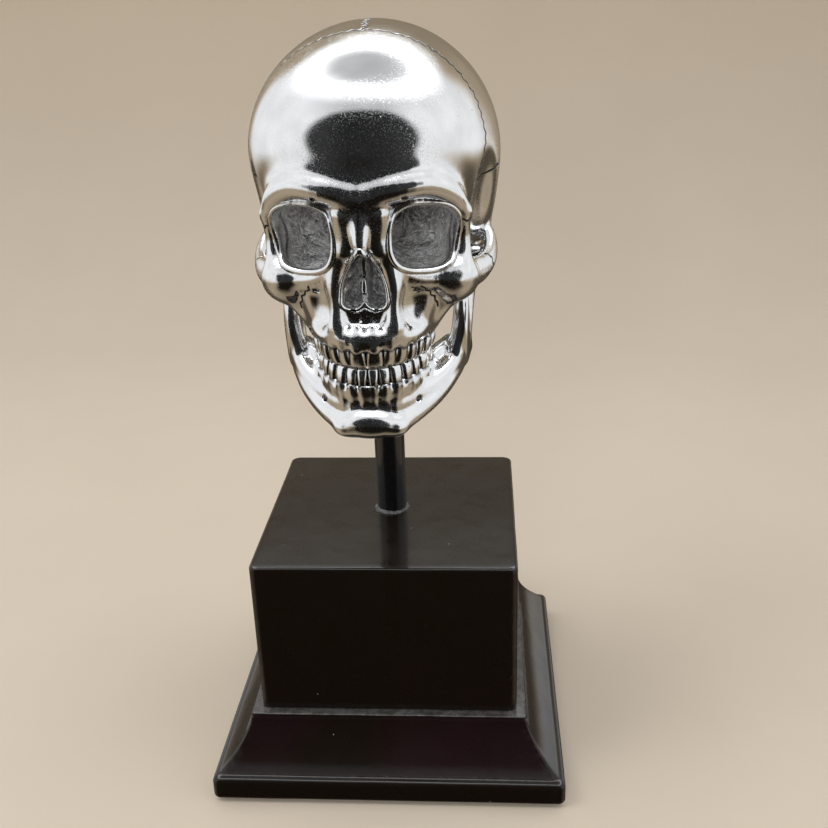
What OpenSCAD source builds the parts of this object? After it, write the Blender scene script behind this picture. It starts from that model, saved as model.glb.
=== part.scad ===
// Ornamental cast-metal skull on a black post and a stepped, lacquered plinth.
// The frame's origin is the centre of the underside; +Z is up and the face looks along -Y.

/* [Plinth] */
// Width and depth of the upper block
block_w = 100; // [90:1:110]
// Height of the upper block
block_h = 63; // [50:1:80]
// Radius of the block's upright corners
block_corner = 4; // [2:0.5:8]
// Width and depth of the moulded base board
base_w = 136; // [132:1:150]
// Thickness of the moulded base board
base_h = 29.5; // [28:0.5:32]
// Thickness of the felt under the board
felt_t = 1.5; // [1:0.1:2]

/* [Post] */
// Outside diameter of the post tube
post_d = 12; // [11:0.5:14]
// Diameter of the threaded tie rod inside the tube
rod_d = 8; // [6:0.5:9]
// Depth of the seat that holds the foot of the tube in the block
post_seat = 20; // [12:1:30]

/* [Skull] */
// Size of the skull as a share of an adult skull
skull_k = 0.63; // [0.6:0.01:0.64]
// Height of the chin above the plinth's underside
chin_z = 152; // [148:1:160]

/* [Hidden] */

// Heights of the stack, from the underside up
base_top = felt_t + base_h;
block_top = base_top + block_h;
half_block = block_w / 2;
half_base = base_w / 2;

// Adult skull landmarks, in life-size mm: height 0 is the plane through the ear openings and the
// lowest points of the orbits, and depth 0 is between the ears
chin_low = -88;
foramen_y = 12;
foramen_low = -24;
skull_z = chin_z - chin_low * skull_k;

// The core opening in the skull's base, and the plate that closes it and takes the rod
plate_r = 18;
plate_t = 4;
plate_play = 0.3;
core_r = 13;
core_rise = 40;
seat_wall = 3;
seat_h = 14;
cut_below = 20;
seat_z = round(skull_z + foramen_low * skull_k);
plate_z = seat_z - plate_t;
hub_r = 9;
hub_h = 18;
hub_cap_t = 2;
thread_play = 0.05;
washer_t = 1;
post_top = plate_z - washer_t;

// Felt, and the clamp hardware in the recess under the base board
recess_r = 13;
recess_h = 14;
felt_margin = 3;
felt_corner = 3;
load_washer_t = 1.6;
load_washer_r = 12;
spring_washer_t = 2;
spring_washer_r = 7;
split_w = 0.8;
nut_h = 6.5;
nut_across_corners = 15;
rod_low = felt_t + 2;
rod_play = 0.5;
tube_play = 0.2;
washer_play = 0.15;
rod_high = plate_z + hub_h - hub_cap_t;

// Screw and dowel sizes. The jaw's tabs lie under pads on the skull, with the screws up through both
plate_screw_at = 15;
plate_head_r = 1.9;
plate_head_h = 1;
m3_r = 1.5;
m3_l = 12;
m3_head_r = 2.8;
m3_head_h = 1.7;
thread_fit = 0.03;
screw_play = 0.05;
tab_play = 0.1;
tapped_depth = 10;
jaw_screw_x = 24.5;
jaw_screw_y = -7;
jaw_tab_t = 4;
jaw_tab_r = 4.6;
jaw_tab_root = [31.5, -10.5];
jaw_tab_root_r = 2.4;
jaw_tab_room = 0.7;
jaw_pad_r = 4;
jaw_pad_h = 14;
jaw_pad_cut = 12;
jaw_pad_z = seat_z + 3;
wood_screw_at = 34;
wood_screw_r = 2;
wood_screw_head_r = 4;
wood_screw_head_h = 3;
wood_screw_l = 40;
dowel_r = 4;
dowel_l = 24;
dowel_at = 30;

// Dental arches, in life-size mm
upper_arch = [29, 47];
lower_arch = [27, 45];
arch_back_y = -43;
tooth_widths = [8.6, 6.8, 7.6, 7.0, 6.8, 10.2];
lower_tooth_widths = [5.4, 6.0, 6.9, 7.0, 7.1, 10.8];
bite_z = -48;
crown_share = 0.97;

module both_sides() {
    children();
    mirror([1, 0, 0]) children();
}

module blob(p, r, n = 16) {
    translate(p) sphere(r, $fn = n);
}

module ellipsoid(p, r, n = 40) {
    translate(p) scale(r) sphere(1, $fn = n);
}

// A tapered bone between two round ends
module bone(a, ra, b, rb, n = 14) {
    hull() {
        blob(a, ra, n);
        blob(b, rb, n);
    }
}

module at_jaw_screws(z) {
    both_sides() translate([jaw_screw_x, jaw_screw_y, z]) children();
}

module at_plate_screws(z) {
    for (a = [90 : 120 : 330])
        rotate([0, 0, a]) translate([plate_screw_at, 0, z]) children();
}

// Puts life-size skull coordinates over the post
module on_post() {
    translate([0, 0, skull_z]) scale(skull_k) translate([0, -foramen_y, 0]) children();
}

// ---- Teeth ----

// Distance travelled along an arch for one radian at angle t from the front
function arch_speed(arch, t) = sqrt(pow(arch[0] * cos(t), 2) + pow(arch[1] * sin(t), 2));

// Angles of the far side and of the middle of tooth i, from the widths of the teeth in front of it
function tooth_end(arch, widths, i) =
    i < 0 ? 0
          : let(t = tooth_end(arch, widths, i - 1)) t + widths[i] * 180 / PI / arch_speed(arch, t + 4);
function tooth_mid(arch, widths, i) =
    (tooth_end(arch, widths, i) + tooth_end(arch, widths, i - 1)) / 2;

// One crown: a rounded block, wider at its biting edge than at its neck
module crown(w, depth, z_neck, z_edge) {
    edge_r = 1.4;
    neck_r = 1.8;
    hull() {
        for (side = [-1, 1]) {
            blob([side * (w / 2 - edge_r), -depth / 2, z_edge], edge_r, 8);
            blob([side * (w / 2 - edge_r), depth / 3, z_edge], edge_r, 8);
            blob([side * (w * 0.42 - neck_r), 0, z_neck], neck_r, 8);
        }
    }
}

module tooth_row(arch, widths, z_neck, z_edge) {
    both_sides() for (i = [0 : len(widths) - 1]) {
        t = tooth_mid(arch, widths, i);
        translate([arch[0] * sin(t), arch_back_y - arch[1] * cos(t), 0])
            rotate([0, 0, atan2(arch[1] * sin(t), arch[0] * cos(t))])
                crown(widths[i] * crown_share, 5 + i * 0.5, z_neck, z_edge);
    }
}

// The bone ridge that carries a row of teeth
module tooth_ridge(arch, z, r) {
    steps = [-75, -50, -25, 0, 25, 50, 75];
    for (k = [0 : len(steps) - 2]) {
        a = steps[k];
        b = steps[k + 1];
        bone([arch[0] * sin(a), arch_back_y - arch[1] * cos(a) + 2, z], r,
             [arch[0] * sin(b), arch_back_y - arch[1] * cos(b) + 2, z], r, 12);
    }
}

// ---- Skull castings ----

// Convex shell of the braincase: dome, occiput, temples and forehead
module braincase() {
    hull() {
        ellipsoid([0, 0, 52], [69, 84, 66], 40);
        ellipsoid([0, 47, 35], [58, 46, 46], 28);
        ellipsoid([0, 8, 12], [62, 50, 34], 28);
        ellipsoid([0, -48, 64], [50, 40, 38], 28);
    }
    ellipsoid([0, -46, 48], [51, 42, 30], 32);
}

module face_bones() {
    // middle of the face, from the brow to the cheeks
    hull() both_sides() {
        blob([43, -58, 34], 8);
        blob([12, -79, 38], 8);
        blob([30, -40, 10], 12);
        blob([44, -56, -6], 7);
        blob([10, -76, -12], 7);
    }
    // upper jaw, down to the roots of the teeth
    hull() both_sides() {
        blob([37, -60, -12], 7);
        blob([9, -80, -16], 7);
        blob([24, -66, -36], 5.5);
        blob([9, -83, -36], 5.5);
        blob([24, -42, -34], 6);
    }
    // bridge of the nose
    hull() {
        blob([0, -84, 32], 5);
        blob([0, -91, 10], 3.5);
        blob([0, -78, 14], 7);
    }
    both_sides() {
        // rim of the orbit
        bone([8, -86, 39], 5.5, [36, -71, 41], 5.5);
        bone([36, -71, 41], 5.5, [49, -60, 27], 4.2);
        bone([49, -60, 27], 4.2, [48.5, -59, 6], 4.2);
        bone([48.5, -59, 6], 4.5, [42, -63, -7], 7);
        bone([42, -63, -7], 7, [26, -72, -7], 5.5);
        bone([26, -72, -7], 5.5, [9, -82, 10], 4);
        // cheekbone arch
        bone([44, -60, -9], 8, [58, -44, -6], 5);
        bone([58, -44, -6], 5, [62, -24, -2], 3.6);
        bone([62, -24, -2], 3.6, [60, -4, 3], 4.5);
        // bony lump behind the ear
        bone([50, 12, 2], 12, [49, 10, -22], 5.5);
    }
}

// Openings of the face: two cone-shaped orbits and the two halves of the nose
module face_openings() {
    both_sides() {
        hull() {
            translate([30, -96, 17]) rotate([0, 0, 22]) scale([20, 6, 17.5]) sphere(1, $fn = 32);
            translate([29.5, -70, 17]) rotate([0, 0, 22]) scale([18.5, 6, 17]) sphere(1, $fn = 32);
            blob([15, -40, 14], 6);
        }
        hull() {
            blob([6.6, -100, -12], 6.4);
            blob([2.6, -104, 8], 1.8);
            blob([6, -64, -10], 4.5);
            blob([2.4, -70, 3], 1.6);
        }
    }
}

// Hollow left by the casting core, which stops short of the orbits
module core() {
    ellipsoid([0, 20, 54], [62, 66, 58], 28);
    ellipsoid([0, -30, 70], [42, 46, 34], 24);
}

module cranium() {
    color("silver") difference() {
        union() {
            on_post() {
                difference() {
                    union() {
                        braincase();
                        face_bones();
                        tooth_ridge(upper_arch, -35, 5);
                    }
                    face_openings();
                }
                tooth_row(upper_arch, tooth_widths, -38, bite_z + 1.7);
            }
            translate([0, 0, seat_z]) cylinder(h = seat_h, r = plate_r + seat_wall, $fn = 48);
            at_jaw_screws(jaw_pad_z) cylinder(h = jaw_pad_h, r = jaw_pad_r, $fn = 24);
        }
        on_post() core();
        translate([0, 0, seat_z - cut_below]) cylinder(h = cut_below + core_rise, r = core_r, $fn = 48);
        // everything under the seat is cut back, so that the plate lies against a flat ring
        translate([0, 0, seat_z - cut_below]) cylinder(h = cut_below, r = plate_r + plate_play, $fn = 48);
        at_plate_screws(seat_z - 1) cylinder(h = tapped_depth + 1, r = m3_r, $fn = 16);
        at_jaw_screws(jaw_pad_z - jaw_pad_cut)
            cylinder(h = jaw_pad_cut, r = jaw_tab_r + jaw_tab_room, $fn = 24);
        at_jaw_screws(jaw_pad_z - 1) cylinder(h = tapped_depth + 1, r = m3_r, $fn = 16);
    }
}

module jaw_body() {
    both_sides() {
        hull() {
            blob([0, -85, -62], 5);
            blob([0, -84, -81], 7);
            blob([19, -79, -62], 5);
            blob([17, -78, -80], 6.5);
        }
        hull() {
            blob([19, -79, -62], 5);
            blob([17, -78, -80], 6.5);
            blob([37, -48, -60], 5);
            blob([40, -46, -72], 5);
        }
        hull() {
            blob([37, -48, -60], 5);
            blob([40, -46, -72], 5);
            blob([46, -34, -48], 4);
            blob([47, -14, -56], 4.5);
        }
        hull() {
            blob([46, -34, -48], 4);
            blob([47, -14, -56], 4.5);
            blob([48, -31, -26], 3.2);
            blob([50, -6, -26], 3.5);
        }
        bone([48, -31, -26], 3.2, [46, -30, -9], 2.4);
        bone([50, -6, -26], 3.5, [50, -5, -12], 4);
    }
}

module mandible() {
    color("silver") difference() {
        union() {
            on_post() {
                jaw_body();
                tooth_ridge(lower_arch, -62, 4.4);
                tooth_row(lower_arch, lower_tooth_widths, -58, bite_z - 1.9);
            }
            translate([0, 0, jaw_pad_z - jaw_tab_t]) both_sides() hull() {
                translate([jaw_screw_x, jaw_screw_y]) cylinder(h = jaw_tab_t, r = jaw_tab_r, $fn = 24);
                translate(jaw_tab_root) cylinder(h = jaw_tab_t, r = jaw_tab_root_r, $fn = 24);
            }
        }
        at_jaw_screws(jaw_pad_z - 2 * jaw_tab_t)
            cylinder(h = 3 * jaw_tab_t, r = m3_r + tab_play, $fn = 16);
        at_jaw_screws(jaw_pad_z - jaw_tab_t - 0.01)
            cylinder(h = m3_head_h + tab_play, r1 = m3_head_r + tab_play, r2 = m3_r + tab_play, $fn = 24);
    }
}

// ---- Fasteners ----

// Countersunk machine screw that points up, with its head flush at height 0
module countersunk(shank_r, head_r, head_h, length) {
    difference() {
        union() {
            cylinder(h = head_h, r1 = head_r, r2 = shank_r, $fn = 32);
            cylinder(h = length, r = shank_r, $fn = 32);
        }
        translate([0, 0, -1]) cylinder(h = 1 + head_h * 0.7, r = head_r * 0.4, $fn = 6);
    }
}

module jaw_screws() {
    color("gainsboro") at_jaw_screws(jaw_pad_z - jaw_tab_t)
        countersunk(m3_r - thread_fit, m3_head_r, m3_head_h, m3_l);
}

module plate_screws() {
    color("gainsboro") at_plate_screws(plate_z)
        countersunk(m3_r - thread_fit, plate_head_r, plate_head_h, m3_l);
}

module skull_base_plate() {
    color("silver") difference() {
        union() {
            translate([0, 0, plate_z]) cylinder(h = plate_t, r = plate_r, $fn = 64);
            translate([0, 0, plate_z]) cylinder(h = hub_h, r = hub_r, $fn = 64);
        }
        translate([0, 0, plate_z - 1]) cylinder(h = hub_h - 1, r = rod_d / 2 + thread_play, $fn = 64);
        at_plate_screws(plate_z) {
            translate([0, 0, -1]) cylinder(h = plate_t + 2, r = m3_r + screw_play, $fn = 32);
            translate([0, 0, -0.01])
                cylinder(h = plate_head_h + tab_play, r1 = plate_head_r + tab_play, r2 = m3_r + screw_play,
                         $fn = 32);
        }
    }
}

module ring(z, h, outer_r, inner_r) {
    translate([0, 0, z]) difference() {
        cylinder(h = h, r = outer_r, $fn = 64);
        translate([0, 0, -1]) cylinder(h = h + 2, r = inner_r, $fn = 64);
    }
}

module friction_washer() {
    color("ivory") ring(post_top, washer_t, post_d / 2, rod_d / 2 + washer_play);
}

// ---- Post ----

module post_tube() {
    color("black")
        ring(block_top - post_seat, post_top - block_top + post_seat, post_d / 2, rod_d / 2 + tube_play);
}

// Ring of sealant where the tube enters the block
module post_foot_bead() {
    color("dimgray") translate([0, 0, block_top]) rotate_extrude($fn = 64)
        polygon([[post_d / 2, 0], [post_d / 2 + 1.3, 0], [post_d / 2 + 0.9, 0.5], [post_d / 2 + 0.3, 0.9],
                 [post_d / 2, 1.5]]);
}

module tie_rod() {
    color("gray") translate([0, 0, rod_low]) cylinder(h = rod_high - rod_low, r = rod_d / 2, $fn = 64);
}

// ---- Plinth ----

module rounded_block(w, h, r) {
    straight = w / 2 - r;
    union() {
        translate([-w / 2, -straight, 0]) cube([w, 2 * straight, h]);
        translate([-straight, -w / 2, 0]) cube([2 * straight, w, h]);
        for (x = [-straight, straight]) for (y = [-straight, straight])
            translate([x, y, 0]) cylinder(h = h, r = r, $fn = 64);
    }
}

module dowel_places() {
    both_sides() translate([dowel_at, 0, base_top - dowel_l / 2]) children();
}

module screw_places() {
    for (x = [-1, 1]) for (y = [-1, 1])
        translate([x * wood_screw_at, y * wood_screw_at, felt_t]) children();
}

module plinth_block() {
    color([0.05, 0.045, 0.04]) difference() {
        translate([0, 0, base_top]) rounded_block(block_w, block_h, block_corner);
        translate([0, 0, block_top - post_seat]) cylinder(h = post_seat + 1, r = post_d / 2, $fn = 64);
        translate([0, 0, base_top - 1]) cylinder(h = block_h + 2, r = rod_d / 2 + rod_play, $fn = 64);
        dowel_places() cylinder(h = dowel_l, r = dowel_r, $fn = 32);
        screw_places() cylinder(h = wood_screw_l, r = wood_screw_r, $fn = 32);
    }
}

// Right-hand half of the moulding's outline, from the underside up: a bevel, a foot with a rounded
// top, a small ledge, a hollow that starts steep at the top and ends as a slope, and a thin fillet
foot_bevel = 1.5;
foot_h = 9.8;
foot_round = 2.4;
ledge_h = 0.3;
fillet_h = 1.6;
top_margin = 3.4;
cove_out = half_base - 2.6;
cove_in = half_block + top_margin + ledge_h;
cove_low = felt_t + foot_h;
cove_high = base_top - fillet_h;

moulding_right = concat(
    [[half_base - foot_bevel, felt_t], [half_base, felt_t + foot_bevel]],
    [for (a = [0 : 10 : 90])
        [half_base - foot_round * (1 - cos(a)), cove_low - ledge_h - foot_round * (1 - sin(a))]],
    [for (a = [90 : -10 : 0])
        [cove_out - (cove_out - cove_in) * pow(cos(a), 2),
         cove_high - (cove_high - cove_low) * pow(sin(a), 0.8)]],
    [[half_block + top_margin, base_top]]);
moulding_left = [for (i = [len(moulding_right) - 1 : -1 : 0])
    [-moulding_right[i][0], moulding_right[i][1]]];

// The same moulding runs along both directions, and the board is where the two runs cross
module moulding_run() {
    rotate([90, 0, 0]) translate([0, 0, -base_w / 2 - 1]) linear_extrude(height = base_w + 2)
        polygon(concat(moulding_right, moulding_left));
}

module plinth_base() {
    color([0.05, 0.045, 0.04]) difference() {
        intersection() {
            moulding_run();
            rotate([0, 0, 90]) moulding_run();
        }
        translate([0, 0, felt_t - 1]) cylinder(h = recess_h + 1, r = recess_r, $fn = 64);
        translate([0, 0, felt_t]) cylinder(h = base_h + 1, r = rod_d / 2 + rod_play, $fn = 64);
        dowel_places() cylinder(h = dowel_l, r = dowel_r, $fn = 32);
        screw_places() {
            translate([0, 0, -1]) cylinder(h = wood_screw_l, r = wood_screw_r, $fn = 32);
            translate([0, 0, -0.01])
                cylinder(h = wood_screw_head_h, r1 = wood_screw_head_r, r2 = wood_screw_r, $fn = 32);
        }
    }
}

module base_screws() {
    color("gray") screw_places()
        countersunk(wood_screw_r, wood_screw_head_r, wood_screw_head_h, wood_screw_l - 1);
}

module glue_dowels() {
    color("burlywood") dowel_places() cylinder(h = dowel_l, r = dowel_r, $fn = 32);
}

module felt_pad() {
    color("black") rounded_block(base_w - 2 * felt_margin, felt_t, felt_corner);
}

// ---- Clamp hardware under the board ----

recess_top = felt_t + recess_h;

module load_washer() {
    color("silver") ring(recess_top - load_washer_t, load_washer_t, load_washer_r, rod_d / 2 + tube_play);
}

module spring_washer() {
    color("gray") difference() {
        ring(recess_top - load_washer_t - spring_washer_t, spring_washer_t, spring_washer_r,
             rod_d / 2 + washer_play);
        translate([-split_w / 2, 0, felt_t]) cube([split_w, spring_washer_r + 1, recess_h]);
    }
}

module clamp_nut() {
    color("gray") translate([0, 0, recess_top - load_washer_t - spring_washer_t - nut_h]) difference() {
        cylinder(h = nut_h, r = nut_across_corners / 2, $fn = 6);
        translate([0, 0, -1]) cylinder(h = nut_h + 2, r = rod_d / 2, $fn = 64);
    }
}

cranium();
mandible();
jaw_screws();
skull_base_plate();
plate_screws();
friction_washer();
post_tube();
post_foot_bead();
tie_rod();
plinth_block();
plinth_base();
base_screws();
glue_dowels();
load_washer();
spring_washer();
clamp_nut();
felt_pad();
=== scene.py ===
"""Mirror-chrome skull on a black lacquered plinth: the looks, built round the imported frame."""
import functools
import itertools
import math

import bmesh
import bpy
import numpy as np
import openvdb
from mathutils import Matrix, Vector


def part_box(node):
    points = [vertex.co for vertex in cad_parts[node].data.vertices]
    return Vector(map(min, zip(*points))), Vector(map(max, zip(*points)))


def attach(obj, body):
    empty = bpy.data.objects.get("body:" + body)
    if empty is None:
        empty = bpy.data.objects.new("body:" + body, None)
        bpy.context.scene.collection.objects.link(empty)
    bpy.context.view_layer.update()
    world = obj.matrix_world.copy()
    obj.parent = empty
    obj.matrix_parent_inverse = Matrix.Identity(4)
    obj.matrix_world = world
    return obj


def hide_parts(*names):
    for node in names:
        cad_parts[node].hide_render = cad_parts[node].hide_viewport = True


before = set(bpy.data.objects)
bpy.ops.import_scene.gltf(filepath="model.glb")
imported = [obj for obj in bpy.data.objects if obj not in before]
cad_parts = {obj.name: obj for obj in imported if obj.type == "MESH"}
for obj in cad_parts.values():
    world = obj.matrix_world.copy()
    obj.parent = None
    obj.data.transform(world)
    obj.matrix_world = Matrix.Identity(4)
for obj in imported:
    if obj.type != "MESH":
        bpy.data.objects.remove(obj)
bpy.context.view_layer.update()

MM = 0.001
FAR = 60.0

# The skull is drawn in life-size mm: height 0 is the plane through the ear openings, depth 0 is
# between the ears, and the face looks along -Y.
SKULL_SHARE = 0.63
CHIN_LOW = -88.0
POST_Y = 12.0
PLATE_THICK = 4.0
EAR_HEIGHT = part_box("mandible")[0].z / MM - CHIN_LOW * SKULL_SHARE
SEAT_HEIGHT = (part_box("skull_base_plate")[0].z / MM + PLATE_THICK - EAR_HEIGHT) / SKULL_SHARE


def to_frame(points):
    """Life-size skull mm to metres in the frame, over the post."""
    out = np.array(points, float)
    out[:, 1] -= POST_Y
    out *= SKULL_SHARE
    out[:, 2] += EAR_HEIGHT
    return out * MM


# ---- Distance fields: functions that take rows of points and say how far outside each one is ----

def join(a, b, k):
    """Union of two distances, blended over about k mm."""
    h = np.maximum(k - np.abs(a - b), 0) / k
    return np.minimum(a, b) - h * h * h * k / 6


def fuse(first, *others):
    """One distance joined with others, each given with the mm that it is blended over."""
    for other, k in others:
        first = join(first, other, k)
    return first


def carve(a, b, k):
    """a with b taken out of it, with an edge rounded over about k mm."""
    return -join(-a, b, k)


def overlap(a, b, k):
    """What a and b share, with a rounded edge."""
    return -join(-a, -b, k)


def length(v):
    return np.sqrt(np.einsum("ij,ij->i", v, v))


def near(p, low, high, reach):
    """Which points lie within reach of a box."""
    found = np.ones(len(p), bool)
    for axis in range(3):
        place = p[:, axis]
        found &= (place > low[axis] - reach) & (place < high[axis] + reach)
    return found


def only_near(p, low, high, form, reach=18):
    """A form worked out only within reach of a box, and far away everywhere else."""
    mask = near(p, low, high, reach)
    out = np.full(len(p), FAR)
    if mask.any():
        out[mask] = form(p[mask])
    return out


def rotation(turn):
    rx, ry, rz = (math.radians(a) for a in turn)
    return Matrix.Rotation(rz, 3, "Z") @ Matrix.Rotation(ry, 3, "Y") @ Matrix.Rotation(rx, 3, "X")


def ball(p, centre, radii, turn=None):
    """An ellipsoid. turn is a rotation in degrees about (x, y, z)."""
    radii = np.array(radii, float)

    def form(q):
        q = q - np.array(centre, float)
        if turn:
            q = q @ np.array(rotation(turn))
        q = q / radii
        k0 = length(q)
        return k0 * (k0 - 1) / (length(q / radii) + 1e-9)

    return only_near(p, centre, centre, form, radii.max() + 16)


@functools.lru_cache(maxsize=None)
def curve_through(points, steps):
    """A Catmull-Rom curve through rows of numbers."""
    pts = np.array(points, float)
    if len(pts) < 3:
        return pts
    ends = np.vstack([2 * pts[0] - pts[1], pts, 2 * pts[-1] - pts[-2]])
    rows = []
    for a, b, c, d in zip(ends[:-3], ends[1:-2], ends[2:-1], ends[3:]):
        for t in np.arange(steps) / steps:
            rows.append(0.5 * (2 * b + (c - a) * t + (2 * a - 5 * b + 4 * c - d) * t ** 2
                               + (3 * b - a - 3 * c + d) * t ** 3))
    rows.append(pts[-1])
    return np.array(rows)


def to_path(q, path):
    """Distance from points to a tapered path of (x, y, z, radius) rows."""
    best = np.full(len(q), FAR)
    for a, b in zip(path[:-1], path[1:]):
        ab = b[:3] - a[:3]
        t = np.clip((q - a[:3]) @ ab / (ab @ ab), 0, 1)
        best = np.minimum(best, length(q - a[:3] - t[:, None] * ab) - a[3] - t * (b[3] - a[3]))
    return best


def rod(p, points, steps=4, reach=14):
    """A smooth tapered rod through points given as (x, y, z, radius)."""
    path = curve_through(tuple(points), steps)
    low, high = path[:, :3].min(0), path[:, :3].max(0)
    return only_near(p, low, high, lambda q: to_path(q, path), path[:, 3].max() + reach)


def column(p, centre, radius, low, high):
    """An upright cylinder."""
    r = np.hypot(p[:, 0] - centre[0], p[:, 1] - centre[1]) - radius
    return np.maximum(r, np.maximum(low - p[:, 2], p[:, 2] - high))


def folded(p, soft):
    """Both sides as one: x becomes its distance from the middle, without a crease."""
    q = p.copy()
    q[:, 0] = np.sqrt(p[:, 0] ** 2 + soft ** 2)
    return q


LATTICE_SIDE = 32
LATTICE = np.random.default_rng(11).uniform(-1, 1, (LATTICE_SIDE,) * 3)


def lumps(p, size):
    """Smooth random relief from -1 to 1, with lumps about size mm across."""
    q = p / size + 100.0
    cell = np.floor(q).astype(int)
    t = q - cell
    t = t * t * t * (t * (6 * t - 15) + 10)
    total = np.zeros(len(p))
    for corner in itertools.product((0, 1), repeat=3):
        wx, wy, wz = (t[:, axis] if far else 1 - t[:, axis] for axis, far in enumerate(corner))
        x, y, z = ((cell[:, axis] + far) % LATTICE_SIDE for axis, far in enumerate(corner))
        total += wx * wy * wz * LATTICE[x, y, z]
    return total


def sway(p):
    """Slow unevenness of a hand-made pattern, so that left and right aren't exact mirror images."""
    a = p / 47.0
    out = p.copy()
    out[:, 0] += 0.5 * np.sin(a[:, 1] * 1.7 + 0.4) * np.cos(a[:, 2] * 1.3 + 1.0)
    out[:, 1] += 0.4 * np.sin(a[:, 2] * 1.5 + 2.2) * np.cos(a[:, 0] * 1.9 + 0.3)
    out[:, 2] += 0.5 * np.sin(a[:, 0] * 1.6 + 1.1) * np.cos(a[:, 1] * 1.4 + 2.0)
    return out


def one_side(p):
    """Points of the whole skull as points of the one half that is drawn."""
    return folded(sway(p), 1.5)


def dents(p):
    """The slight unevenness of a casting that was finished by hand."""
    return 0.12 * lumps(p, 17)


# ---- The skull's forms, on published average proportions of an adult skull ----

def vault(q):
    """Braincase, from the forehead to the neck, folded to one side."""
    return fuse(ball(q, (0, 4, 48), (70, 87, 70)),
                (ball(q, (0, -42, 62), (53, 44, 42)), 26),
                (ball(q, (0, 50, 32), (57, 43, 42)), 24),
                (ball(q, (6, 10, 16), (58, 50, 38)), 20),
                (ball(q, (0, 22, -4), (46, 44, 23)), 14))


def brow_and_cheek(q):
    """The bars of bone round the orbit, and the cheekbone."""
    brow = rod(q, [(5, -86, 39, 6), (18, -85, 42, 5.5), (33, -78, 43, 5.2), (45, -68, 36, 4.8),
                   (50, -61, 26, 4.2)])
    side = rod(q, [(50, -61, 26, 4.2), (49.5, -58, 14, 4.2), (48, -59, 2, 5.5), (43, -63, -7, 7.5)])
    under = rod(q, [(45, -62, -6, 7), (34, -69, -6, 5.5), (23, -75, -3, 4.5), (14.5, -79, 6, 3.8),
                    (11.5, -82, 18, 3.6), (9.5, -85, 30, 4.6)])
    cheek = ball(q, (45, -58, -9), (13, 12, 12), (0, 0, 35))
    return fuse(brow, (side, 5), (under, 5), (cheek, 9))


def cheek_arch(q):
    """The bridge of bone from the cheekbone back to the ear."""
    low = rod(q, [(49, -55, -11, 6.5), (57.5, -44, -10.5, 4.9), (63, -30, -7.5, 3.9),
                  (64.5, -16, -3.5, 3.6), (63, -5, 0, 3.8), (57, 3, 2, 5)])
    high = rod(q, [(49, -55, -5, 6), (57.5, -44, -5.5, 4.6), (62.5, -30, -3.5, 3.4), (64, -16, 0, 3.2),
                   (62.5, -5, 4, 3.4), (57, 5, 6, 5)])
    return join(low, high, 5)


def nose_and_jaw(q):
    """Nasal bones and the upper jaw, down to the tooth necks."""
    bridge = rod(q, [(0, -85, 34, 5.5), (0, -88, 26, 4.8), (0, -90.6, 18, 4.4), (0, -91.2, 13, 3.8)])
    wings = rod(q, [(5, -83.5, 32, 5), (6.5, -84.5, 22, 4.8), (8, -84.5, 12, 4.2)])
    pillar = rod(q, [(11, -82, 12, 4), (14, -82.5, 0, 4.2), (16, -82.5, -12, 4.6), (15.5, -84, -26, 5)])
    body = ball(q, (0, -58, -17), (37, 27, 27))
    ridge = rod(q, [(29, -44, -33, 6), (27.5, -60, -33, 6), (21, -76, -33, 6), (11, -85.5, -33, 5.8),
                    (0, -88, -33, 5.6)])
    crest = rod(q, [(42, -58, -15, 6.5), (36, -57, -24, 6), (30, -57, -32, 5)])
    f = fuse(body, (ridge, 9), (crest, 8), (pillar, 8), (join(bridge, wings, 6), 7))
    hollow = ball(q, (28, -82, -18), (9.5, 9, 12))
    return carve(f, hollow, 9)


ORBIT_CENTRE = (29.5, -71, 17.0)
ORBIT_HALF_WIDTH = 19.6
ORBIT_HALF_HEIGHT = 17.0
ORBIT_DEPTH = 42.0
ORBIT_SQUARE = 2.6
ORBIT_MEAN_RADIUS = 16


def orbit(q):
    """The eye socket: a deep rounded square bowl that runs back towards the middle."""
    axis = Vector((0.36, -0.93, -0.06)).normalized()
    side = Vector((0.93, 0.36, -0.12))
    side = (side - side.dot(axis) * axis).normalized()
    up = axis.cross(side)

    def bowl(p):
        d = p - np.array(ORBIT_CENTRE)
        u = np.abs(d @ np.array(side)) / ORBIT_HALF_WIDTH
        v = np.abs(d @ np.array(up)) / ORBIT_HALF_HEIGHT
        back = np.minimum(d @ np.array(axis), 0) / ORBIT_DEPTH
        n = np.sqrt((u ** ORBIT_SQUARE + v ** ORBIT_SQUARE) ** (2 / ORBIT_SQUARE) + back ** 2)
        return (n - 1) * ORBIT_MEAN_RADIUS

    return only_near(q, (0, -120, -12), (66, -20, 46), bowl, 0)


def orbit_openings(q):
    """The round canal and the slit at the back of the orbit, and the small holes above and below it."""
    canal = rod(q, [(17.5, -40, 19.5, 2.2), (13, -28, 19.5, 2.0)], reach=6)
    slit = rod(q, [(20.5, -41, 15, 1.4), (25.5, -44, 20.5, 1.9), (31, -47, 24.5, 1.2)], reach=6)
    lower_slit = rod(q, [(24, -46, 7.5, 1.2), (32, -52, 3.5, 1.6), (37, -57, 3, 1.1)], reach=6)
    notch = rod(q, [(22.5, -92, 37.5, 1.3), (22.5, -82, 38.5, 1.3)], reach=6)
    under = rod(q, [(25.5, -84, -13, 1.9), (26.5, -70, -9, 1.4)], reach=6)
    return np.minimum.reduce([canal, slit, lower_slit, notch, under])


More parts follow.
